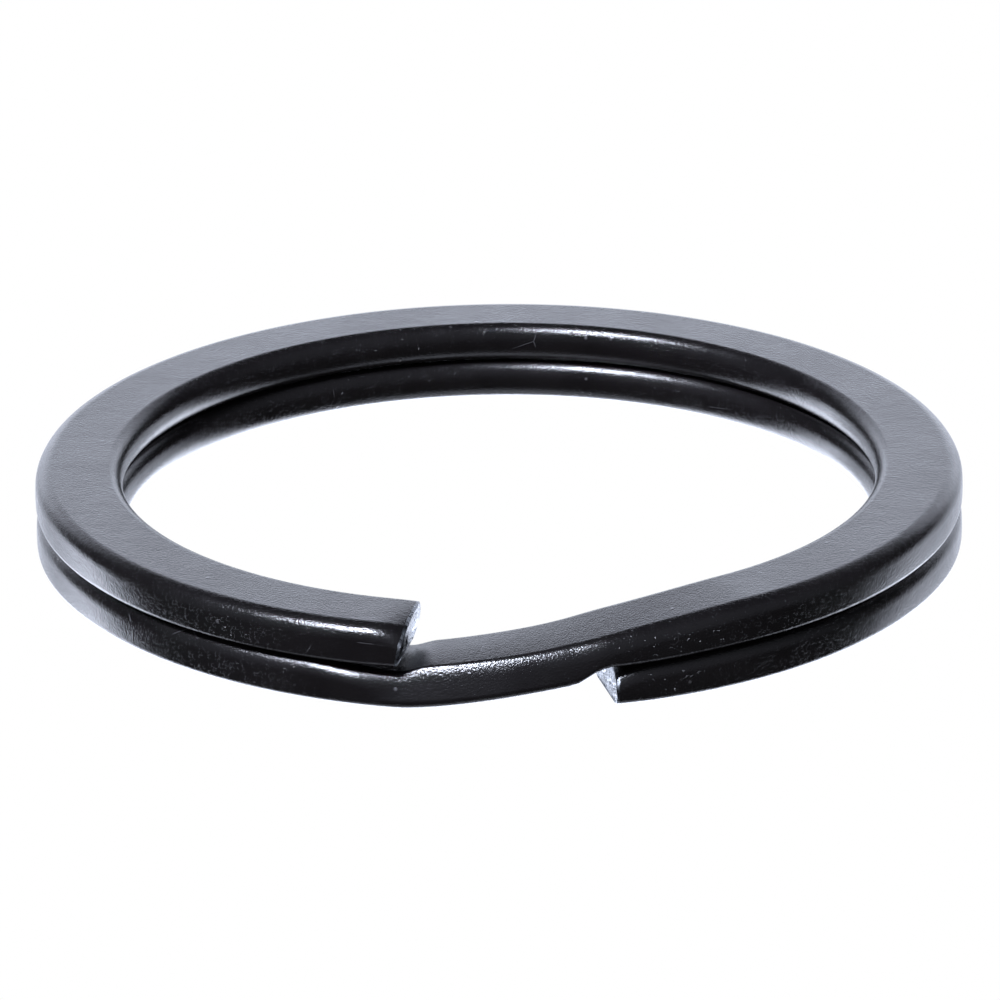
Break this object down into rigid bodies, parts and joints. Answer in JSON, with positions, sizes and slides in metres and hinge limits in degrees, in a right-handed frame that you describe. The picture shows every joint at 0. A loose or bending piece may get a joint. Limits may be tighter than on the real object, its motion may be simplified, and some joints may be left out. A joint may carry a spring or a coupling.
{
  "type": "split key ring",
  "caption": "Split key ring of flat spring wire wound on itself, with a cranked step at the front and sheared tips that spring apart to let a key in.",
  "frame": {"origin": "on the ring's own axis, in the plane that the lower turn's flat bottom rests on", "axes": "+Z along the ring's axis, from the lower turn to the upper turn; -Y towards the cranked step and the two tips; +X to the right seen from the step"},
  "size_m": [0.032, 0.032, 0.0028],
  "materials": {
    "black_finish": "satin black paint with a fine grain, over spring steel",
    "bare_steel": "bare sheared steel on the two cut end faces"
  },
  "bodies": {
    "ring_root": {"crank_step": "black_finish", "lower_turn_front_left": "black_finish", "lower_turn_left_front": "black_finish", "lower_turn_left_back": "black_finish", "upper_turn_front_right": "black_finish", "upper_turn_right": "black_finish", "upper_turn_back_right": "black_finish"},
    "upper_turn_back": {"upper_turn_back": "black_finish"},
    "upper_turn_back_left": {"upper_turn_back_left": "black_finish"},
    "upper_turn_left": {"upper_turn_left": "black_finish"},
    "upper_turn_front_left": {"upper_turn_front_left": "black_finish"},
    "upper_tip": {"upper_tip": "black_finish"},
    "lower_turn_back_left": {"lower_turn_back_left": "black_finish"},
    "lower_turn_back_right": {"lower_turn_back_right": "black_finish"},
    "lower_turn_right": {"lower_turn_right": "black_finish"},
    "lower_turn_front_right": {"lower_turn_front_right": "black_finish"},
    "lower_tip": {"lower_tip": "black_finish"}
  },
  "joints": [
    {"name": "upper_pry", "type": "hinge", "parent": "ring_root", "child": "upper_turn_back", "pos_m": [0.00831, 0.01367, 0.00143], "axis": [-0.8545, 0.5195, 0], "range_deg": [0, 2.5], "stiffness_Nm_per_rad": 29.3},
    {"name": "upper_flex_2", "type": "hinge", "parent": "upper_turn_back", "child": "upper_turn_back_left", "pos_m": [-0.00242, 0.01582, 0.00143], "axis": [-0.9885, -0.1513, 0], "range_deg": [0, 2.51]},
    {"name": "upper_flex_3", "type": "hinge", "parent": "upper_turn_back_left", "child": "upper_turn_left", "pos_m": [-0.01202, 0.01056, 0.00143], "axis": [-0.66, -0.7513, 0], "range_deg": [0, 1.94]},
    {"name": "upper_flex_4", "type": "hinge", "parent": "upper_turn_left", "child": "upper_turn_front_left", "pos_m": [-0.016, 0.00036, 0.00143], "axis": [-0.0227, -0.9997, 0], "range_deg": [0, 1.07]},
    {"name": "upper_flex_5", "type": "hinge", "parent": "upper_turn_front_left", "child": "upper_tip", "pos_m": [-0.01249, -0.01, 0.00143], "axis": [0.6252, -0.7804, 0], "range_deg": [0, 0.305]},
    {"name": "lower_pry", "type": "hinge", "parent": "ring_root", "child": "lower_turn_back_left", "pos_m": [-0.00883, 0.01334, 0.00139], "axis": [0.8339, 0.5519, 0], "range_deg": [0, 2.5], "stiffness_Nm_per_rad": 29.3},
    {"name": "lower_flex_2", "type": "hinge", "parent": "lower_turn_back_left", "child": "lower_turn_back_right", "pos_m": [0.00181, 0.0159, 0.00139], "axis": [0.9936, -0.1132, 0], "range_deg": [0, 2.51]},
    {"name": "lower_flex_3", "type": "hinge", "parent": "lower_turn_back_right", "child": "lower_turn_right", "pos_m": [0.01161, 0.01101, 0.00139], "axis": [0.6884, -0.7254, 0], "range_deg": [0, 1.94]},
    {"name": "lower_flex_4", "type": "hinge", "parent": "lower_turn_right", "child": "lower_turn_front_right", "pos_m": [0.01597, 0.00098, 0.00139], "axis": [0.061, -0.9981, 0], "range_deg": [0, 1.07]},
    {"name": "lower_flex_5", "type": "hinge", "parent": "lower_turn_front_right", "child": "lower_tip", "pos_m": [0.01286, -0.00952, 0.00139], "axis": [-0.5948, -0.8039, 0], "range_deg": [0, 0.305]}
  ],
  "couplings": [
    {"joint": "upper_flex_2", "follows": "upper_pry", "ratio": 1},
    {"joint": "upper_flex_3", "follows": "upper_pry", "ratio": 0.7733},
    {"joint": "upper_flex_4", "follows": "upper_pry", "ratio": 0.426},
    {"joint": "upper_flex_5", "follows": "upper_pry", "ratio": 0.1206},
    {"joint": "lower_flex_2", "follows": "lower_pry", "ratio": 1},
    {"joint": "lower_flex_3", "follows": "lower_pry", "ratio": 0.7733},
    {"joint": "lower_flex_4", "follows": "lower_pry", "ratio": 0.426},
    {"joint": "lower_flex_5", "follows": "lower_pry", "ratio": 0.1206}
  ]
}
